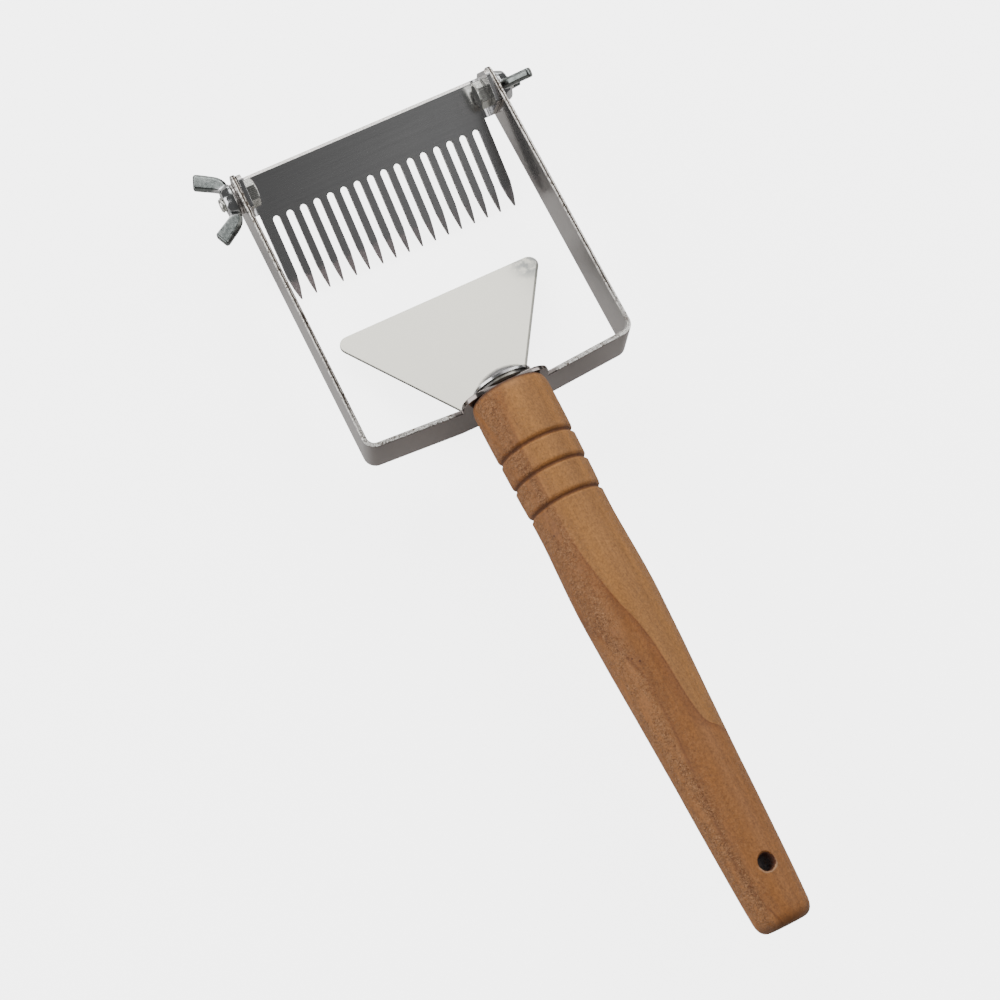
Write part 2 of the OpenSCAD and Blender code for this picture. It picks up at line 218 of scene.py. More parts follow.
# ---------------------------------------------------------------- materials
def yoke_steel():
    k = Mat("yoke_steel")
    x, y, z = k.xyz()
    nx, ny, nz = k.xyz(k.nor)
    lug = k.math("MULTIPLY", k.span(z, O.z + 0.0052, O.z + 0.0058), k.span(k.math("ABSOLUTE", x), 0.0185, 0.0165))
    cut = k.span(k.math("ABSOLUTE", nz), 0.45, 0.8)               # the sheared edges of the strap
    cut = k.math("MULTIPLY", cut, k.math("SUBTRACT", 1.0, lug))   # the lug's rim is dressed smooth
    # broad faces: rolled finish, faint scratches across and along the strap
    fine = k.noise(1.0, 3, 0.6, v=k.scaled((2600, 2600, 260)))
    fine2 = k.noise(1.0, 2, 0.6, v=k.scaled((300, 300, 5200)))
    cloud = k.noise(70, 4, 0.55)
    flat_f = k.math("ADD", k.math("MULTIPLY", fine, 0.10), k.math("MULTIPLY_ADD", cloud, 0.12, 0.88))
    flat_c = k.vmath_scale(k.mix(cloud, (0.51, 0.475, 0.460), (0.57, 0.545, 0.525)), flat_f)
    scratch = k.span(k.noise(1.0, 1, 0.3, 0.4, v=k.scaled((900, 900, 9000), (0.1, 0.15, 0.3))), 0.70, 0.76)
    flat_c = k.mix(k.math("MULTIPLY", scratch, 0.25), flat_c, (0.72, 0.70, 0.68))
    # the crossbar's front gets a browner, darker colour as painted shade, standing in for the shadowed floor it
    # reflects; the lug is given the same darker brown
    painted_shade_front_and_lug = k.math("MULTIPLY", k.span(ny, -0.35, -0.85), k.span(k.math("SUBTRACT", y, O.y), 0.006, 0.0005))
    painted_shade_front_and_lug = k.math("MAXIMUM", painted_shade_front_and_lug, k.math("MULTIPLY", lug, 0.75))
    # mix in the painted shade on the crossbar's front and the darker brown on the lug
    flat_c = k.mix(k.math("MULTIPLY", painted_shade_front_and_lug, 0.92), flat_c, k.vmath_scale(k.mix(cloud, (0.198, 0.160, 0.145), (0.236, 0.194, 0.178)), flat_f))
    # sheared edges: short torn marks across the thickness, bright and brown
    tear = k.noise(1.0, 3, 0.7, 0.6, v=k.scaled((1700, 1700, 1700)))
    patch = k.noise(420, 3, 0.6)
    tone = k.span(k.math("MULTIPLY_ADD", patch, 0.5, k.math("MULTIPLY", tear, 0.75)), 0.48, 0.68)
    # distance t from the strap's outer face: burnished outside, a torn brown line, greyer inside, and a dark line at
    # the inner corner; the greyer inside band carries painted shade, heaviest on the left arm, and the dark inner line
    # is a painted shadow
    ax, yy = k.math("ABSOLUTE", x), k.math("SUBTRACT", y, O.y)
    bow = k.span(ax, 0.0142, 0.041, 0.0018, 0.0, kind="LINEAR")
    qx = k.math("MAXIMUM", k.math("SUBTRACT", ax, 0.041), 0.0)
    qy = k.math("MAXIMUM", k.math("SUBTRACT", 0.0058, k.math("ADD", yy, bow)), 0.0)
    t = k.math("SUBTRACT", 0.004, k.math("SQRT", k.math("ADD", k.math("MULTIPLY", qx, qx), k.math("MULTIPLY", qy, qy))))
    t = k.math("MULTIPLY_ADD", k.math("SUBTRACT", patch, 0.5), 0.0005, t)
    arm = k.span(yy, 0.004, 0.020)
    # left-arm weight: the left arm's edges get the heavier painted shade
    left = k.math("MULTIPLY", arm, k.span(x, 0.010, -0.010))
    inner_grey_and_shade = k.math("MULTIPLY", k.span(t, 0.00058, 0.00080), k.math("MULTIPLY_ADD", left, 0.38, 0.12))
    lip_painted_shadow = k.math("MULTIPLY", k.span(t, 0.00112, 0.00126), k.math("MULTIPLY_ADD", left, 0.80, k.math("MULTIPLY_ADD", arm, -0.42, 0.55)))
    torn = k.math("MULTIPLY", k.math("MULTIPLY", k.span(t, 0.00047, 0.00055), k.span(t, 0.00110, 0.00099)),
                  k.math("MULTIPLY_ADD", arm, 0.76, 0.20))
    cut_c = k.mix(tone, (0.16, 0.13, 0.105), (0.99, 0.97, 0.92))
    cut_c = k.mix(inner_grey_and_shade, cut_c, k.mix(tone, (0.10, 0.078, 0.060), (0.56, 0.50, 0.45)))
    cut_c = k.mix(torn, cut_c, k.mix(tone, (0.016, 0.012, 0.010), (0.060, 0.046, 0.036)))
    # painted shadow: a dark line along the inner corner of the strap's edges
    cut_c = k.mix(lip_painted_shadow, cut_c, (0.045, 0.036, 0.030))
    edge = k.edges(0.00022)
    colour = k.mix(cut, flat_c, cut_c)
    # painted highlight: the colour is mixed lighter along the rounded edges
    colour = k.mix(k.math("MULTIPLY", edge, 0.12), colour, (0.74, 0.72, 0.69))
    rough = k.math("ADD", k.math("MULTIPLY_ADD", cut, 0.16, 0.10), k.math("MULTIPLY", k.math("ADD", cloud, fine2), 0.04))
    n = k.bump(k.math("MULTIPLY", tear, cut), 0.00012, 0.9, k.round_normal(0.00030))
    n = k.bump(k.math("ADD", fine, k.math("MULTIPLY", cloud, 2.0)), 0.0000012, 1.0, n)
    return k.done(colour, rough, n, 1.0)


def comb_steel():
    k = Mat("comb_steel")
    rel = k.vmath("SUBTRACT", k.obj, tuple(BACK_EDGE))
    down = k.vmath("DOT_PRODUCT", rel, (0.0, -math.cos(COMB_ANGLE), -math.sin(COMB_ANGLE)), out="Value")
    up = k.vmath("DOT_PRODUCT", k.nor, (0.0, -math.sin(COMB_ANGLE), math.cos(COMB_ANGLE)), out="Value")
    x = k.xyz()[0]
    comb = k.t.nodes.new("ShaderNodeCombineXYZ")
    k.put(comb.inputs[0], x); k.put(comb.inputs[1], down); k.put(comb.inputs[2], k.math("MULTIPLY", k.xyz(rel)[2], 0.3))
    uv = comb.outputs[0]
    ear = k.span(k.math("ABSOLUTE", x), 0.0345, 0.0365)           # the folded ears show the sheet's face sideways
    side = k.math("MULTIPLY", k.xyz(k.nor)[0], ear)
    flat = k.span(k.math("SQRT", k.math("ADD", k.math("MULTIPLY", up, up), k.math("MULTIPLY", side, side))), 0.75, 0.95)
    # fine brushing along the back edge
    b1 = k.noise(1.0, 3, 0.65, v=k.scaled((90, 5200, 2000), v=uv))
    b2 = k.noise(1.0, 2, 0.6, v=k.scaled((26, 1300, 900), v=uv))
    grain = k.noise(2600, 2, 0.6, v=uv)
    cloud = k.noise(60, 3, 0.5)
    f = k.math("ADD", k.math("MULTIPLY_ADD", b1, 0.12, 0.81), k.math("MULTIPLY_ADD", b2, 0.18, k.math("MULTIPLY", grain, 0.05)))
    c1 = k.vmath_scale(k.mix(cloud, (0.50, 0.50, 0.505), (0.565, 0.56, 0.56)), f)
    # ground points: browner, with bright grinding marks
    wob = k.math("MULTIPLY", k.math("SUBTRACT", k.noise(900, 3, 0.6), 0.5), 0.005)
    tip = k.span(k.math("ADD", down, wob), 0.0350, 0.0368)
    tip = k.math("MULTIPLY", tip, k.span(k.math("MULTIPLY_ADD", k.noise(130, 1, 0.5), 0.02, x), 0.030, -0.010, 0.30, 0.95))
    grind = k.span(k.noise(1.0, 3, 0.7, 0.8, v=k.scaled((2400, 1400, 2400), (0, 0, 0.6))), 0.50, 0.72)
    tip_c = k.mix(grind, (0.50, 0.42, 0.42), (0.90, 0.82, 0.81))
    c2 = k.mix(k.math("MULTIPLY", tip, 0.85), c1, tip_c)
    # punched edges
    tear = k.noise(2800, 3, 0.7)
    cut_c = k.mix(k.span(tear, 0.4, 0.65), (0.34, 0.30, 0.27), (0.86, 0.84, 0.80))
    c3 = k.mix(flat, cut_c, c2)
    edge = k.edges(0.00016)
    # painted highlight: lighter along the rounded edges and around the slots
    c4 = k.mix(k.math("MULTIPLY", edge, 0.45), c3, (0.80, 0.77, 0.73))
    rough = k.math("ADD", k.math("MULTIPLY_ADD", b1, 0.05, 0.20), k.math("MULTIPLY", k.math("SUBTRACT", 1.0, flat), 0.12))
    rough = k.math("MULTIPLY_ADD", tip, 0.22, rough)
    n = k.bump(k.math("ADD", b1, k.math("MULTIPLY", b2, 1.6)), 0.0000010, 1.0, k.round_normal(0.00016))
    n = k.bump(k.math("MULTIPLY", grind, tip), 0.000010, 0.7, n)
    return k.done(c4, rough, n, 1.0)


def plate_steel():
    k = Mat("plate_steel")
    cloud = k.noise(38, 4, 0.55)
    grain = k.noise(1.0, 2, 0.6, v=k.scaled((3600, 900, 900)))
    soot = k.span(k.noise(220, 4, 0.6, 0.5), 0.66, 0.80)
    f = k.math("MULTIPLY_ADD", cloud, 0.12, k.math("MULTIPLY_ADD", grain, 0.07, 0.86))
    c1 = k.vmath_scale(k.mix(cloud, (0.662, 0.645, 0.565), (0.688, 0.672, 0.600)), f)
    c1 = k.mix(k.math("MULTIPLY", soot, 0.16), c1, (0.40, 0.40, 0.39))
    # a darker handling mark at one front corner
    corner = k.node("VectorMath", {0: k.obj, 1: tuple(PLATE_CORNER)}, out="Value", operation="DISTANCE")
    smudge = k.math("MULTIPLY", k.span(corner, 0.0085, 0.0025), k.span(k.noise(420, 3, 0.6), 0.30, 0.60))
    c1 = k.mix(k.math("MULTIPLY", smudge, 0.85), c1, (0.22, 0.23, 0.23))
    edge = k.math("MULTIPLY", k.edges(0.00050, 6, 0.003, 0.03), k.span(k.xyz()[1], PLATE_CORNER.y + 0.0012, PLATE_CORNER.y - 0.0010))
    cut = k.span(k.math("ABSOLUTE", k.vmath("DOT_PRODUCT", k.nor, (0.0, 0.2011, 0.9796), out="Value")), 0.9, 0.6)
    cut = k.math("MULTIPLY", cut, k.span(k.xyz()[1], PLATE_CORNER.y + 0.0012, PLATE_CORNER.y + 0.0020))
    cut = k.math("MAXIMUM", cut, k.span(k.math("ABSOLUTE", k.xyz(k.nor)[0]), 0.25, 0.45))
    # painted shade: the cut faces are made near black instead of mirroring the lit floor
    c2 = k.mix(cut, c1, k.mix(k.noise(2600, 3, 0.7), (0.050, 0.048, 0.045), (0.17, 0.165, 0.16)))
    px, py, pz = k.xyz()
    line = k.math("MULTIPLY_ADD", k.math("SUBTRACT", py, O.y), 0.6487 * 0.839, (0.00865 - 0.0033 * 0.6487) * 0.839)
    line = k.math("MULTIPLY_ADD", k.math("ABSOLUTE", px), -0.839, line)   # distance in from the slanted side
    wide = k.span(px, -0.004, 0.004, 0.00036, 0.00080)
    side = k.math("MULTIPLY", k.math("LESS_THAN", line, wide), k.math("GREATER_THAN", k.math("SUBTRACT", py, O.y), 0.004))
    c2 = k.mix(k.math("MULTIPLY", k.math("MAXIMUM", edge, side), 0.80), c2, (0.070, 0.068, 0.062))   # painted dark reflection: a dark line down the slanted sides and along the front edges
    rough = k.math("MULTIPLY_ADD", k.math("ADD", cloud, grain), 0.07, 0.30)
    n = k.bump(k.math("ADD", grain, k.math("MULTIPLY", cloud, 3.0)), 0.000003, 1.0, k.round_normal(0.00014))
    return k.done(c2, rough, n, 1.0)


def plated(name, dark, light, rough0, mottle=1.0, bump=0.00003, scale=700, edge_c=(0.86, 0.86, 0.85), ribs=False, hub=False):
    """zinc- or chrome-plated hardware"""
    k = Mat(name)
    n1 = k.noise(scale, 4, 0.62, 0.3)
    n2 = k.noise(scale * 4.5, 3, 0.6)
    f = k.span(k.math("MULTIPLY_ADD", n2, 0.4, k.math("MULTIPLY", n1, 0.8)), 0.42, 0.80)
    c1 = k.mix(f, dark, light)
    edge = k.edges(0.00028)
    c1 = k.mix(k.math("MULTIPLY", edge, 0.35), c1, edge_c)
    rough = k.math("MULTIPLY_ADD", k.math("SUBTRACT", n1, 0.5), 0.30 * mottle, rough0)
    if hub:                                                       # the machined, brighter hub of a wing nut
        rx, ry, rz = k.xyz(k.vmath("SUBTRACT", k.obj, tuple(PIVOT)))
        rad = k.math("SQRT", k.math("ADD", k.math("MULTIPLY", ry, ry), k.math("MULTIPLY", rz, rz)))
        core = k.span(rad, 0.0060, 0.0050)
        c1 = k.mix(k.math("MULTIPLY", core, 0.85), c1, (0.76, 0.765, 0.77))
        rough = k.math("MULTIPLY_ADD", core, -0.13, rough)
    n = k.bump(n1, bump, 1.0)
    if ribs:                                                      # ribs along the hexagon's flats: a bump, with painted dark reflections in their troughs
        rel = k.xyz(k.vmath("SUBTRACT", k.obj, tuple(PIVOT)))
        ang = k.math("ARCTAN2", rel[2], rel[1])
        wave = k.math("SINE", k.math("MULTIPLY_ADD", ang, 46.0, k.math("MULTIPLY", n1, 1.0)))
        on = k.math("MULTIPLY", k.span(k.math("ABSOLUTE", rel[0]), 0.0391, 0.0394), k.span(k.math("ABSOLUTE", rel[0]), 0.0419, 0.0416))
        wave = k.math("MULTIPLY", wave, on)
        n = k.bump(wave, 0.000012, 1.0, n)
        # painted reflection: the ribs' troughs are mixed darker
        c1 = k.mix(k.math("MULTIPLY", k.span(wave, 0.1, -0.9), 0.35), c1, (0.20, 0.20, 0.18))
    n = k.bump(n2, bump * 0.3, 1.0, n)
    return k.done(c1, rough, n, 1.0)


def wood():
    k = Mat("handle_wood")
    W = lambda r_, g_, b_: (r_ * 1.0, g_ * 0.828, b_ * 0.53)
    x, y, z = k.xyz()
    s = k.math("SUBTRACT", O.y, y)                                # distance from the crossbar
    # two growth surfaces, slightly tilted against the handle, seen on the front and the back alike
    wob = k.math("MULTIPLY", k.math("SUBTRACT", k.noise(1.0, 3, 0.55, v=k.scaled((90, 18, 90))), 0.5), 0.0006)
    lean = k.math("MULTIPLY_ADD", z, 0.12, -0.00126)
    x1 = k.curve(y, [(-0.020, 0.0240), (0.020, 0.0210), (0.034, 0.0145), (0.0393, 0.0080), (0.0431, 0.0042), (0.0514, 0.0027),
                     (0.0621, 0.0018), (0.0731, 0.0002), (0.0832, -0.0027), (0.0923, -0.0044), (0.1043, -0.0056),
                     (0.1213, -0.0058), (0.1392, -0.0059), (0.1523, -0.0041), (0.160, -0.0030)])
    g1 = k.math("SUBTRACT", k.math("SUBTRACT", x, x1), k.math("ADD", wob, lean))
    x2 = k.curve(y, [(-0.020, -0.0012), (-0.0147, -0.0025), (-0.0083, -0.0045), (0.0005, -0.0058), (0.0128, -0.0056),
                     (0.0341, -0.0048), (0.0525, -0.0044), (0.068, -0.0068), (0.085, -0.0112), (0.160, -0.0150)])
    g2 = k.math("SUBTRACT", k.math("SUBTRACT", x, x2), k.math("ADD", wob, lean))
    pale = k.span(g1, -0.00005, 0.0006)                           # early wood beyond the first surface
    late = k.math("MULTIPLY", k.span(g1, -0.0052, -0.0002), k.span(g1, 0.00035, -0.0001))
    line = k.math("MULTIPLY", k.span(g1, -0.0007, -0.0001), k.span(g1, 0.0003, -0.00005))
    line2 = k.math("MULTIPLY", k.span(g2, -0.0012, 0.0), k.span(g2, 0.0005, -0.0001))
    late2 = k.math("MULTIPLY", k.span(g2, -0.0002, 0.0006), k.span(g2, 0.0058, 0.001))
    # slow changes along the stick and fine rings parallel to the first surface
    slow = k.noise(1.0, 3, 0.5, v=k.scaled((120, 22, 120)))
    rings = k.noise(1.0, 4, 0.6, v=k.node("CombineXYZ", {"X": k.math("MULTIPLY", g1, 1500.0), "Y": k.math("MULTIPLY", y, 40.0),
                                                          "Z": k.math("MULTIPLY", z, 90.0)}))
    fibre = k.noise(1.0, 3, 0.65, v=k.scaled((3400, 150, 3400)))
    mott = k.noise(1.0, 4, 0.65, 0.4, v=k.scaled((1250, 620, 1250)))
    # ray flecks: short curled marks across the grain, strongest along the left flank
    warp = k.noise(1.0, 3, 0.6, 1.4, v=k.scaled((860, 1340, 860)))
    fleck = k.span(k.math("ABSOLUTE", k.math("SUBTRACT", warp, 0.5)), 0.070, 0.010)
    curl = k.span(k.math("ABSOLUTE", k.math("SUBTRACT", warp, 0.42)), 0.045, 0.006)
    grit = k.span(k.noise(1.0, 3, 0.7, 0.5, v=k.scaled((2300, 2300, 2300))), 0.50, 0.72)
    rad = k.math("SQRT", k.math("ADD", k.math("MULTIPLY", x, x), k.math("MULTIPLY", z, z)))
    side = k.math("DIVIDE", x, k.math("MAXIMUM", rad, 0.003))
    band = k.math("MULTIPLY", k.span(side, -0.45, -0.72), k.span(side, -1.02, -0.84))
    near = k.span(side, 0.0, -0.9)
    back = k.math("MULTIPLY", k.span(side, 0.55, 0.85), 0.5)
    fl = k.math("ADD", k.math("MULTIPLY_ADD", near, 0.55, 0.16), k.math("ADD", k.math("MULTIPLY", band, 0.75), back), clamp=True)
    fl = k.math("MULTIPLY", fl, k.span(k.noise(1.0, 2, 0.5, v=k.scaled((300, 90, 300))), 0.30, 0.56))

    up = k.span(y, 0.118, 0.090)                                  # the surface fades out towards the grooves
    pale = k.math("ADD", k.math("MULTIPLY", pale, up), k.math("MULTIPLY", k.span(g1, -0.0032, 0.0040), k.math("SUBTRACT", 1.0, up)))
    line = k.math("MULTIPLY", line, k.math("MULTIPLY_ADD", up, 0.85, 0.15))
    streak = k.span(k.noise(1.0, 3, 0.55, 0.15, v=k.scaled((430, 11, 430))), 0.36, 0.64, kind="LINEAR")
    speck = k.span(k.noise(1.0, 3, 0.75, 0.3, v=k.scaled((1500, 1100, 1500))), 0.34, 0.66, kind="LINEAR")
    c = k.mix(slow, W(0.330, 0.158, 0.074), W(0.392, 0.196, 0.096))
    c = k.mix(k.math("MULTIPLY", pale, 0.8), c, k.mix(slow, W(0.372, 0.196, 0.086), W(0.442, 0.243, 0.112)))
    c = k.mix(k.math("MULTIPLY", late, k.math("MULTIPLY_ADD", up, 0.34, 0.36)), c, W(0.245, 0.104, 0.042))
    c = k.mix(k.math("MULTIPLY", late2, 0.44), c, W(0.235, 0.105, 0.046))
    c = k.mix(k.math("MULTIPLY", line, 0.40), c, W(0.150, 0.058, 0.022))
    c = k.mix(k.math("MULTIPLY", line2, 0.66), c, W(0.165, 0.066, 0.026))
    f = k.math("ADD", k.math("MULTIPLY_ADD", rings, 0.34, 0.46), k.math("ADD", k.math("MULTIPLY", fibre, 0.16), k.math("MULTIPLY_ADD", mott, 0.36, k.math("MULTIPLY_ADD", speck, 0.46, -0.10))))
    c = k.vmath_scale(c, f)
    c = k.vmath_scale(c, k.math("MULTIPLY_ADD", streak, 0.20, 0.90))
    c = k.mix(k.math("MULTIPLY", k.math("MULTIPLY", fleck, fl), 0.62), c, W(0.68, 0.43, 0.32))
    c = k.mix(k.math("MULTIPLY", k.math("MULTIPLY", curl, fl), 0.75), c, W(0.20, 0.078, 0.036))
    c = k.mix(k.math("MULTIPLY", k.math("MULTIPLY", grit, fl), 0.45), c, W(0.20, 0.082, 0.035))
    c = k.mix(k.math("MULTIPLY", k.span(grit, 0.5, 1.0), 0.07), c, W(0.16, 0.07, 0.03))
    # small pin knots
    for p, r0 in (((-0.0060, 0.0663, 0.0101), 0.00042), ((-0.0044, 0.0647, 0.0108), 0.00055), ((-0.0090, 0.1085, 0.0073), 0.0005),
                  ((0.0062, -0.0320, -0.0080), 0.0005), ((-0.0030, 0.0150, -0.0095), 0.0006)):
        dd = k.node("VectorMath", {0: k.obj, 1: p}, out="Value", operation="DISTANCE")
        c = k.mix(k.math("MULTIPLY", k.span(dd, r0, r0 * 0.35), 0.75), c, (0.055, 0.018, 0.008))
        c = k.mix(k.math("MULTIPLY", k.span(dd, r0 * 5, r0), 0.16), c, (0.20, 0.075, 0.03))
    # burnt grooves
    burn = None
    for g in (0.020, 0.029, 0.039):
        a = k.span(k.math("ABSOLUTE", k.math("SUBTRACT", s, g)), 0.00100, 0.00020)
        burn = a if burn is None else k.math("MAXIMUM", burn, a)
    burn = k.math("MULTIPLY", burn, k.math("MULTIPLY_ADD", mott, 0.5, 0.62), clamp=True)
    c = k.mix(burn, c, (0.115, 0.040, 0.014))
    # ends: darker end grain at the butt
    tail = k.span(s, 0.1700, 0.1732)
    c = k.mix(k.math("MULTIPLY", tail, 0.45), c, (0.16, 0.066, 0.030))
    # painted contact shadow: the wood darkens where it meets the lug
    lug_contact_shadow = k.span(s, 0.0018, 0.0004)
    c = k.mix(k.math("MULTIPLY", lug_contact_shadow, 0.85), c, (0.050, 0.018, 0.009))
    # hang hole: dark inside, a pale torn rim
    ax = Vector((math.sin(math.radians(8.5)), 0.0, math.cos(math.radians(8.5))))
    away = k.vmath("LENGTH", k.vmath("CROSS_PRODUCT", k.obj, tuple(ax)), out="Value")
    away = k.math("MULTIPLY_ADD", k.math("SUBTRACT", mott, 0.5), 0.0011, away)
    rim = k.math("MULTIPLY", k.span(away, 0.0033, 0.0029), k.span(y, 0.0006, -0.0016))
    c = k.mix(k.math("MULTIPLY", rim, 0.45), c, (0.62, 0.42, 0.26))
    inside = k.span(away, 0.00272, 0.00258)
    c = k.mix(inside, c, k.mix(mott, (0.080, 0.026, 0.011), (0.210, 0.076, 0.034)))
    rough = k.math("ADD", k.math("MULTIPLY_ADD", mott, 0.18, 0.44), k.math("MULTIPLY", burn, 0.12))
    n = k.bump(fibre, 0.00003, 0.6)
    n = k.bump(k.math("MULTIPLY", k.math("SUBTRACT", fleck, curl), fl), 0.00009, 0.8, n)
    n = k.bump(mott, 0.00005, 0.5, n)
    return k.done(c, rough, n, 0.0, **{"Specular IOR Level": 0.35, "Sheen Weight": 0.10, "Sheen Roughness": 0.35})


M_YOKE, M_COMB, M_PLATE, M_WOOD = yoke_steel(), comb_steel(), plate_steel(), wood()
M_BOLT = plated("bolt_chrome", (0.70, 0.70, 0.705), (0.84, 0.84, 0.845), 0.19, 0.25, 0.000004, 500)
M_SCREW = plated("screw_steel", (0.66, 0.66, 0.615), (0.88, 0.88, 0.83), 0.20, 0.3, 0.000003, 900, ribs=True)
M_WASHER = plated("washer_steel", (0.50, 0.47, 0.455), (0.74, 0.71, 0.69), 0.26, 0.6, 0.000008, 900)
M_NUT = plated("nut_zinc", (0.135, 0.15, 0.145), (0.29, 0.31, 0.30), 0.25, 0.5, 0.000022, 900, hub=True)


# ---------------------------------------------------------------- carried-over CAD nodes
def node_group(name, sharp):
    g = bpy.data.node_groups.new(name, "GeometryNodeTree")
    g.interface.new_socket("Geometry", in_out="INPUT", socket_type="NodeSocketGeometry")
    g.interface.new_socket("Geometry", in_out="OUTPUT", socket_type="NodeSocketGeometry")
    a, b = g.nodes.new("NodeGroupInput"), g.nodes.new("NodeGroupOutput")
    geo = a.outputs[0]
    if not sharp:
        w = g.nodes.new("GeometryNodeMergeByDistance")
        g.links.new(geo, w.inputs["Geometry"])
        w.inputs["Distance"].default_value = 2e-6
        rm = g.nodes.new("GeometryNodeRemoveAttribute")
        g.links.new(w.outputs[0], rm.inputs["Geometry"])
        rm.inputs["Name"].default_value = "custom_normal"
        geo = rm.outputs[0]
    sm = g.nodes.new("GeometryNodeSetShadeSmooth")
    sm.domain = "FACE"
    g.links.new(geo, sm.inputs["Geometry"])
    sm.inputs["Shade Smooth"].default_value = True
    geo = sm.outputs[0]
    if sharp:
        ang = g.nodes.new("GeometryNodeInputMeshEdgeAngle")
        cmp_ = g.nodes.new("FunctionNodeCompare")
        cmp_.data_type, cmp_.operation = "FLOAT", "GREATER_THAN"
        g.links.new(ang.outputs["Unsigned Angle"], cmp_.inputs[0])
        cmp_.inputs[1].default_value = math.radians(sharp)
        se = g.nodes.new("GeometryNodeSetShadeSmooth")
        se.domain = "EDGE"
        g.links.new(geo, se.inputs["Geometry"])
        g.links.new(cmp_.outputs[0], se.inputs["Selection"])
        se.inputs["Shade Smooth"].default_value = False
        geo = se.outputs[0]
    g.links.new(geo, b.inputs[0])
    return g


CLEAN = node_group("clean_mesh", 0)
SHARP = node_group("smooth_by_angle", 38)


def finish_node(name, mat, bevel=0.0, segments=2, angle=30.0):
    """welds, bevels and smooths a CAD node with modifiers, and gives it its material"""
    o = N[name]
    o.data.materials.clear()
    o.data.materials.append(mat)
    mod = o.modifiers.new("clean", "NODES"); mod.node_group = CLEAN
    if bevel:
        dec = o.modifiers.new("planar", "DECIMATE"); dec.decimate_type = "DISSOLVE"; dec.angle_limit = math.radians(0.6)
        bv = o.modifiers.new("bevel", "BEVEL")
        bv.width, bv.segments, bv.limit_method, bv.angle_limit = bevel, segments, "ANGLE", math.radians(angle)
        bv.use_clamp_overlap = True
    mod = o.modifiers.new("smooth", "NODES"); mod.node_group = SHARP
    if bevel:
        wn = o.modifiers.new("weighted", "WEIGHTED_NORMAL"); wn.keep_sharp = True
    return o


finish_node("yoke", M_YOKE, 0.00022)
finish_node("guide_plate", M_PLATE, 0.00014)
finish_node("comb_blade", M_COMB, 0.00012, 2)
finish_node("handle_bolt", M_BOLT)
finish_node("left_washer", M_WASHER, 0.00008)
finish_node("right_washer", M_WASHER, 0.00008)


# ---------------------------------------------------------------- detailed pieces
def make(name, verts, faces, mat, body, node, slot, sharp=None):
    me = bpy.data.meshes.new(name)
    me.from_pydata([tuple(v) for v in verts], [], faces)
    me.materials.append(mat)
    bm = bmesh.new(); bm.from_mesh(me)
    bmesh.ops.recalc_face_normals(bm, faces=bm.faces)
    for f in bm.faces:
        f.smooth = True
    if sharp:
        for e in bm.edges:
            if len(e.link_faces) == 2 and e.calc_face_angle() > math.radians(sharp):
                e.smooth = False
    bm.to_mesh(me); bm.free()
    ob = bpy.data.objects.new(name, me)
    bpy.context.scene.collection.objects.link(ob)
    return ob


def hand_over(ob, body, node):
    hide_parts(node)
    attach(ob, body)
    return ob


def rings_to_mesh(rings, closed_start=True, closed_end=True):
    """rings: lists of the same number of points; the ends are closed to a middle point"""
    n = len(rings[0])
    verts = [p for ring in rings for p in ring]
    faces = []
    for i in range(len(rings) - 1):
        for j in range(n):
            k2 = (j + 1) % n
            faces.append((i * n + j, i * n + k2, (i + 1) * n + k2, (i + 1) * n + j))
    for flag, ring, i in ((closed_start, rings[0], 0), (closed_end, rings[-1], len(rings) - 1)):
        if flag:
            cpt = sum((Vector(p) for p in ring), Vector()) / n
            verts.append(tuple(cpt))
            q = len(verts) - 1
            for j in range(n):
                a, b = i * n + j, i * n + (j + 1) % n
                faces.append((q, b, a) if i == 0 else (q, a, b))
    return verts, faces


def applied(ob, name):
    """the object's evaluated mesh as a new plain mesh on the same object"""
    bpy.context.view_layer.update()
    dg = bpy.context.evaluated_depsgraph_get()
    me = bpy.data.meshes.new_from_object(ob.evaluated_get(dg), preserve_all_data_layers=True, depsgraph=dg)
    ob.modifiers.clear()
    old = ob.data
    ob.data = me
    me.name = name
    bpy.data.meshes.remove(old)
    return ob


# ---- handle: turned wood
CURVE = np.array([[0.0, 12.2], [4, 12.3], [7, 12.35], [12, 12.35], [16, 12.3], [20, 12.2], [24, 12.12], [29, 12.0],
                  [34, 11.88], [38, 11.7], [42, 11.6], [47, 11.55], [51, 11.65], [56, 11.85], [61, 12.05], [66, 12.2],
                  [71, 12.25], [76, 12.15], [82, 11.95], [90, 11.7], [98, 11.35], [106, 11.0], [116, 10.62], [126, 10.25],
                  [136, 9.98], [146, 9.65], [156, 9.32], [164, 8.98], [169, 8.7], [176, 8.25]])
_s = np.arange(0, 176, 0.25)
_r = np.interp(_s, CURVE[:, 0], CURVE[:, 1])
_k = np.hanning(17); _k /= _k.sum()
_r = np.convolve(np.pad(_r, 8, mode="edge"), _k, mode="valid")


def body_r(s_):
    return float(np.interp(s_, _s, _r))


def groove(s_):
    dep = 0.0
    for g in (20.0, 29.0, 39.0):
        t = abs(s_ - g) / 1.15
        dep = max(dep, 0.97 * (1.045 - math.sqrt(t * t + 0.018)))
    return max(dep, 0.0)


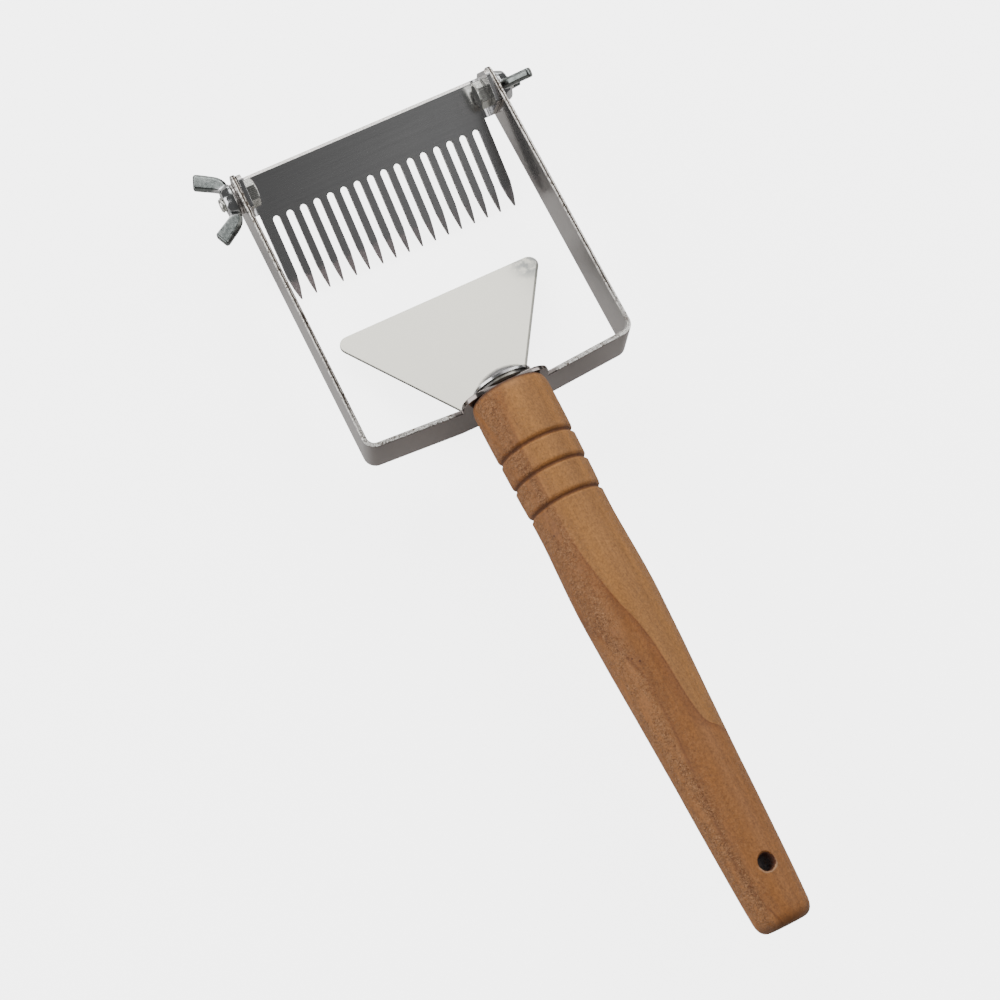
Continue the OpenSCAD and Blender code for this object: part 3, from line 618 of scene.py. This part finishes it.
def handle():
    L = 174.0
    prof = [(4.05, 42.0), (4.05, 20.0), (4.05, 0.5), (4.3, 0.0), (7.5, 0.0), (10.1, 0.0), (10.5, 0.05), (10.85, 0.18),
            (11.2, 0.42), (11.55, 0.85), (11.85, 1.4), (12.05, 2.0), (12.2, 2.8)]
    s_ = 3.6
    while s_ < L - 4.2:
        near = min(abs(s_ - g) for g in (20.0, 29.0, 39.0))
        prof.append((body_r(s_) - groove(s_), s_))
        s_ += 0.14 if near < 1.5 else (0.5 if near < 3 else 1.1)
    prof += [(8.62, L - 4.0), (8.5, L - 3.2), (8.28, L - 2.4), (7.95, L - 1.65), (7.45, L - 0.98), (6.85, L - 0.5), (6.1, L - 0.18),
             (5.2, L - 0.04), (4.2, L), (2.2, L)]
    n = 176
    rings = []
    for i, (rr, ss) in enumerate(prof):
        ring = []
        for j in range(n):
            a = 2 * math.pi * j / n
            e = 0.0
            if i > 9 and ss < L - 0.5:                            # hand-sanded: never quite round
                e = 0.035 * noise.noise(Vector((2.0 * math.cos(a), ss * 0.055, 2.0 * math.sin(a))))
                e += 0.012 * noise.noise(Vector((7.0 * math.cos(a), ss * 0.30, 7.0 * math.sin(a))))
            q = rr + e - (0.03 if i > 9 else 0.0)
            ring.append((q * math.sin(a) * MM, O.y - ss * MM, q * math.cos(a) * MM))
        rings.append(ring)
    v, f = rings_to_mesh(rings)
    ob = make("handle_wood_turned", v, f, M_WOOD, None, None, None)
    # hang hole, its mouths a little broken
    hp = [(3.6, -12.0), (3.25, -9.6), (2.52, -8.75), (2.50, -8.3), (2.50, 0.0), (2.50, 8.3), (2.52, 8.75), (3.25, 9.6), (3.6, 12.0)]
    cr = [[(q * math.cos(2 * math.pi * j / 64) * MM, q * math.sin(2 * math.pi * j / 64) * MM, h * MM) for j in range(64)] for q, h in hp]
    v, f = rings_to_mesh(cr)
    cut = make("hole_cutter", v, f, M_WOOD, None, None, None)
    cut.matrix_world = Matrix.Rotation(math.radians(8.5), 4, "Y")
    bo = ob.modifiers.new("hole", "BOOLEAN"); bo.operation, bo.solver, bo.object = "DIFFERENCE", "EXACT", cut
    applied(ob, "handle_wood_turned")
    bpy.data.objects.remove(cut)
    sm = ob.modifiers.new("smooth", "NODES"); sm.node_group = SHARP
    return hand_over(ob, "tool", "handle")


HANDLE = handle()


# ---- pivot screws: chamfered hexagon heads, rolled thread
def screw(side):
    ear_in, head_h, af, tip = 41.95, 3.5, 8.0, 50.9
    hr = af / 2 / math.cos(math.radians(30))
    n, pitch, depth = 96, 0.8, 0.44
    x0 = ear_in - head_h
    rings = []

    def hexr(a):
        return min(af / 2 / math.cos(math.radians((math.degrees(a) % 60.0) - 30.0)), hr - 0.07)

    def ring(xx, fn):
        out = []
        for j in range(n):
            a = 2 * math.pi * j / n
            rr = fn(a)
            b = a + COMB_ANGLE
            out.append(PIVOT + Vector((side * xx, rr * math.cos(b), rr * math.sin(b))) * MM)
        rings.append(out)

    def cone(t):
        return lambda a: min(hexr(a), t)
    ring(x0 + 0.10, lambda a: 1.2)
    ring(x0 + 0.10, lambda a: 2.55)
    ring(x0 + 0.02, lambda a: 2.85)
    ring(x0, lambda a: 3.1)
    ring(x0, lambda a: 3.62)
    for t in (0.03, 0.08, 0.2, 0.3, 0.4, 0.5, 0.6):
        ring(x0 + t, cone(3.70 + t * 1.75))
    ring(x0 + 0.9, hexr)
    ring(x0 + 2.0, hexr)
    ring(ear_in - 0.35, hexr)
    ring(ear_in - 0.12, lambda a: hexr(a) - 0.03)
    ring(ear_in - 0.02, lambda a: hexr(a) - 0.16)
    ring(ear_in - 0.02, lambda a: 2.7)
    ring(ear_in + 0.15, lambda a: 2.5)
    xs = ear_in + 1.4
    ring(xs, lambda a: 2.5)
    while xs < tip - 0.02:
        xs += pitch / 8
        t = min(1.0, (xs - ear_in - 1.4) / 0.8)
        cap = 2.5 if xs < tip - 0.7 else 2.5 - (xs - tip + 0.7) * 0.95

        def fn(a, xs=xs, t=t, cap=cap):
            ph = (xs / pitch - side * a / (2 * math.pi)) % 1.0
            tri = abs(2 * ph - 1.0)
            return min(2.5 - depth * t * min(1.0, max(0.0, tri * 1.3 - 0.15)), cap)
        ring(min(xs, tip), fn)
    ring(tip, lambda a: 1.5)
    v, f = rings_to_mesh(rings)
    nm = ("right" if side > 0 else "left") + "_screw_threaded"
    ob = make(nm, v, f, M_SCREW, None, None, None, sharp=24)
    return hand_over(ob, "comb", ("right" if side > 0 else "left") + "_screw")


screw(1), screw(-1)


# ---- wing nuts: cast, softly rounded
def arc(cx, cy, rr, a0, a1, n=6):
    return [(cx + rr * math.cos(math.radians(a0 + (a1 - a0) * i / n)), cy + rr * math.sin(math.radians(a0 + (a1 - a0) * i / n)))
            for i in range(n + 1)]


OUTER = [(0.1, 3.3), (0.1, 5.2), (0.25, 6.6), (0.9, 8.0), (2.0, 9.2), (3.5, 10.35), (5.3, 11.5)]
TIP = arc(7.9, 12.0, 1.0, 122, 23) + arc(9.35, 8.95, 0.8, 23, -61)
INNER = [(7.0, 6.7), (4.6, 5.3), (3.6, 4.6), (3.2, 3.8), (3.2, 3.3)]


def wing_nut(side, turn):
    nut_x = 45.9
    out = [Vector(p) for p in OUTER + TIP + INNER]
    n = len(out)
    weights = [1.0] * len(OUTER) + [0.9, 0.7, 0.5] + [0.3] * (len(TIP) - 3) + [0.25] * len(INNER)
    weights[0] = weights[-1] = 0.0
    inset = []
    for i, p in enumerate(out):                                   # 2D offset along the outline's inward normal
        t = (out[(i + 1) % n] - out[i - 1]).normalized()
        nrm = Vector((t.y, -t.x))
        inset.append(nrm)
    area = sum(out[i - 1].x * out[i].y - out[i].x * out[i - 1].y for i in range(n))
    sgn = -1.0 if area > 0 else 1.0
    verts, faces = [], []

    def prism(sv):
        levels = [(-1.5, 1.0), (-1.32, 0.7), (-0.80, 0.0), (0.80, 0.0), (1.32, 0.7), (1.5, 1.0)]
        base = len(verts)
        for zz, amount in levels:
            for p, nr, w in zip(out, inset, weights):
                q = p + nr * sgn * amount * w * 1.0
                verts.append((nut_x + q.x, sv * q.y, zz))
        for l in range(len(levels) - 1):
            for j in range(n):
                a, b = base + l * n + j, base + l * n + (j + 1) % n
                faces.append((a, b, b + n, a + n))
        faces.append(tuple(base + j for j in range(n)))
        faces.append(tuple(base + (len(levels) - 1) * n + j for j in reversed(range(n))))
    prism(1)
    prism(-1)
    # boss with its bore
    prof = [(2.55, 0.0), (5.2, 0.0), (5.5, 0.3), (5.4, 1.0), (5.15, 1.8), (4.75, 2.9), (4.45, 3.35), (4.1, 3.6), (3.1, 3.6), (2.7, 3.4), (2.55, 3.2)]
    m_ = 72
    base = len(verts)
    for rr, xx in prof:
        for j in range(m_):
            a = 2 * math.pi * j / m_
            verts.append((nut_x + xx, rr * math.cos(a), rr * math.sin(a)))
    for i in range(len(prof)):
        for j in range(m_):
            a, b = base + i * m_ + j, base + i * m_ + (j + 1) % m_
            c2, d2 = base + ((i + 1) % len(prof)) * m_ + (j + 1) % m_, base + ((i + 1) % len(prof)) * m_ + j
            faces.append((a, b, c2, d2))
    ca, sa = math.cos(math.radians(turn)), math.sin(math.radians(turn))
    nm = ("right" if side > 0 else "left") + "_wing_nut_cast"
    ob = make(nm, [Vector(v) for v in verts], faces, M_NUT, None, None, None)   # in mm while it is remeshed
    re = ob.modifiers.new("union", "REMESH"); re.mode, re.voxel_size, re.use_smooth_shade = "VOXEL", 0.14, True
    sm = ob.modifiers.new("soft", "SMOOTH"); sm.factor, sm.iterations = 0.5, 7
    dc = ob.modifiers.new("fewer", "DECIMATE"); dc.ratio = 0.35
    applied(ob, nm)
    co = np.zeros(len(ob.data.vertices) * 3); ob.data.vertices.foreach_get("co", co); co = co.reshape(-1, 3)
    for i in range(len(co)):                                      # a little casting unevenness
        p = Vector(co[i])
        co[i] += np.array(noise.noise_vector(p * 0.55 + Vector((side * 9.0, 0, 0)))) * 0.05
    x_, y_, z_ = co[:, 0].copy(), co[:, 1].copy(), co[:, 2].copy()
    x_ = np.maximum(x_, nut_x)
    co = np.stack([side * x_, y_ * ca - z_ * sa, y_ * sa + z_ * ca], 1) * MM + np.array(PIVOT)
    ob.data.vertices.foreach_set("co", co.ravel())
    ob.data.update()
    if side < 0:
        bm = bmesh.new(); bm.from_mesh(ob.data)
        bmesh.ops.recalc_face_normals(bm, faces=bm.faces)
        bm.to_mesh(ob.data); bm.free()
    for p in ob.data.polygons:
        p.use_smooth = True
    if not ob.data.materials:
        ob.data.materials.append(M_NUT)
    return hand_over(ob, ("right" if side > 0 else "left") + "_nut", ("right" if side > 0 else "left") + "_wing_nut")


wing_nut(1, 112.0)
wing_nut(-1, 0.0)


# ---------------------------------------------------------------- stage
def stage_mesh(name, verts, faces, colour, rough=0.9, emit=0.0):
    me = bpy.data.meshes.new(name)
    me.from_pydata(verts, [], faces)
    ob = bpy.data.objects.new(name, me)
    bpy.context.scene.collection.objects.link(ob)
    mt = bpy.data.materials.new(name)
    mt.use_nodes = True
    b = mt.node_tree.nodes["Principled BSDF"]
    b.inputs["Base Color"].default_value = (*colour, 1)
    b.inputs["Roughness"].default_value = rough
    b.inputs["Specular IOR Level"].default_value = 0.0
    if emit:
        b.inputs["Emission Color"].default_value = (1, 1, 1, 1)
        b.inputs["Emission Strength"].default_value = emit
    me.materials.append(mt)
    return ob


def only(ob, camera):
    """seen by the camera only, or by everything but the camera"""
    ob.visible_camera = camera
    for k_ in ("visible_diffuse", "visible_glossy", "visible_transmission", "visible_volume_scatter", "visible_shadow"):
        setattr(ob, k_, not camera)


lo, hi = CAD_BOX
zf = lo.z - 0.0005
S = 4.0
quad = lambda z_: [(-S, -S, z_), (S, -S, z_), (S, S, z_), (-S, S, z_)]
only(stage_mesh("floor", quad(zf), [(0, 1, 2, 3)], (0.9, 0.9, 0.9), emit=4.2), True)
disc = [(0.42 * math.cos(2 * math.pi * i / 64), 0.12 + 0.42 * math.sin(2 * math.pi * i / 64), zf - 0.0003) for i in range(64)]
only(stage_mesh("floor_bounce", disc, [tuple(range(64))], (0.56, 0.55, 0.54)), False)
# the studio's pale wall, far away all round
seg = 48
wall = [(3.6 * math.cos(2 * math.pi * i / seg), 3.6 * math.sin(2 * math.pi * i / seg), h) for h in (zf - 0.01, 3.0) for i in range(seg)]
only(stage_mesh("backdrop", wall + [(0, 0, 3.0)], [(i, (i + 1) % seg, seg + (i + 1) % seg, seg + i) for i in range(seg)]
                + [(seg + i, seg + (i + 1) % seg, 2 * seg) for i in range(seg)], (0.9, 0.9, 0.9), emit=4.9), True)

w = bpy.data.worlds.new("world"); bpy.context.scene.world = w
w.use_nodes = True
w.node_tree.nodes["Background"].inputs[0].default_value = (1, 1, 1, 1)
w.node_tree.nodes["Background"].inputs[1].default_value = 0.11


def softbox(name, direction, dist, sx, sy, radiance, colour=(1, 1, 1)):
    L = bpy.data.lights.new(name, "AREA")
    L.shape, L.size, L.size_y, L.color = "RECTANGLE", sx, sy, colour
    L.energy = radiance * sx * sy * 4.0
    ob = bpy.data.objects.new(name, L)
    bpy.context.scene.collection.objects.link(ob)
    dv = Vector(direction).normalized()
    mid = Vector((0.0, 0.18, 0.0))
    ob.location = mid + dv * dist
    ob.rotation_mode = "QUATERNION"
    ob.rotation_quaternion = dv.to_track_quat("Z", "Y")
    return ob


softbox("key_back", (0.17, 0.72, 0.67), 1.2, 1.2, 0.62, 3.0)
softbox("fill_left", (-0.90, 0.10, 0.42), 1.2, 1.0, 1.2, 2.3)
softbox("fill_right", (0.78, -0.02, 0.62), 1.2, 0.8, 0.9, 2.0)
softbox("strip_top", (0.17, 0.37, 0.91), 1.2, 1.0, 0.26, 0.78)
softbox("soft_front", (0.40, -0.42, 0.81), 1.2, 0.55, 0.60, 0.14)
softbox("strip_back", (0.20, 0.97, 0.08), 1.2, 1.0, 0.32, 2.2)
